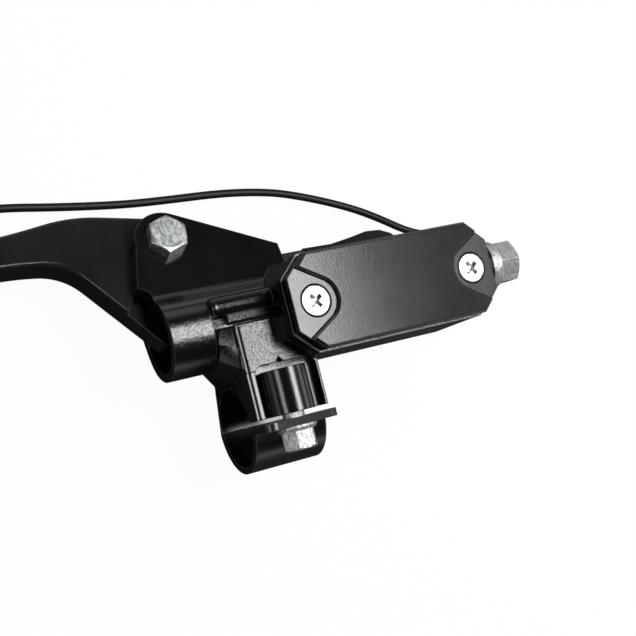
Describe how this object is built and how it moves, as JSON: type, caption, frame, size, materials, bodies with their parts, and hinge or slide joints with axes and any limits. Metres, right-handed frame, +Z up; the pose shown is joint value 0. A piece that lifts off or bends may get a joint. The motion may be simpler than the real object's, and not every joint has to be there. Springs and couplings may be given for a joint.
{
  "type": "hydraulic brake lever",
  "caption": "Handlebar brake master cylinder with a cast body, lidded fluid reservoir, hinged hand lever, clamp and brake-light switch with its lead.",
  "frame": {"origin": "on the handlebar's axis, in the middle of the clamp's width", "axes": "+X along the handlebar from the lever's end towards the outlet, +Y forward from the rider, +Z up through the reservoir's lid"},
  "size_m": [0.2613, 0.1203, 0.0545],
  "materials": {
    "black_casting": "gloss black paint on cast aluminium",
    "lid_paint": "gloss black paint on cast aluminium",
    "strap_paint": "gloss black paint",
    "black_lever": "satin black paint on cast aluminium",
    "rubber": "black moulded rubber",
    "zinc": "white zinc plate",
    "washer_alloy": "soft aluminium",
    "piston_alloy": "turned aluminium",
    "spring_steel": "oiled spring steel",
    "brass": "turned brass",
    "switch_shell": "black moulded plastic",
    "lead_jacket": "black flexible jacket",
    "tie_nylon": "black nylon band",
    "connector_nylon": "black nylon"
  },
  "bodies": {
    "housing": {"master_cylinder_body": "black_casting", "reservoir_lid": "lid_paint", "reservoir_diaphragm": "rubber", "lid_screws": "zinc", "pivot_bolt": "zinc", "pivot_washer": "zinc", "pivot_nut": "zinc", "clamp_strap": "strap_paint", "clamp_bolts": "zinc", "outlet_washer": "washer_alloy", "outlet_bolt": "zinc", "stop_washer": "zinc", "circlip": "spring_steel", "dust_seal": "rubber", "return_spring": "spring_steel", "switch_body": "switch_shell", "switch_boot": "rubber", "switch_lead": "lead_jacket", "lead_coil": "lead_jacket", "coil_tie": "tie_nylon", "lead_tail": "lead_jacket", "lead_connector": "connector_nylon"},
    "lever": {"brake_lever": "black_lever"},
    "piston": {"piston": "piston_alloy", "secondary_cup": "rubber", "primary_cup": "rubber"},
    "plunger": {"switch_plunger": "brass"}
  },
  "joints": [
    {"name": "lever_pivot", "type": "hinge", "parent": "housing", "child": "lever", "pos_m": [-0.0194, 0.05218, -0.00407], "axis": [0, 0.2857, 0.9583], "range_deg": [0, 16], "stiffness_Nm_per_rad": 2, "springref_deg": -5.73},
    {"name": "piston_slide", "type": "slide", "parent": "housing", "child": "piston", "axis": [1, 0, 0], "range_m": [0, 0.0075], "deforming": ["return_spring"]},
    {"name": "plunger_slide", "type": "slide", "parent": "housing", "child": "plunger", "axis": [1, 0, 0], "range_m": [0, 0.003]}
  ],
  "couplings": [
    {"joint": "piston_slide", "follows": "lever_pivot", "m_per_rad": 0.0245},
    {"joint": "plunger_slide", "follows": "lever_pivot", "m_per_rad": 0.0094}
  ]
}
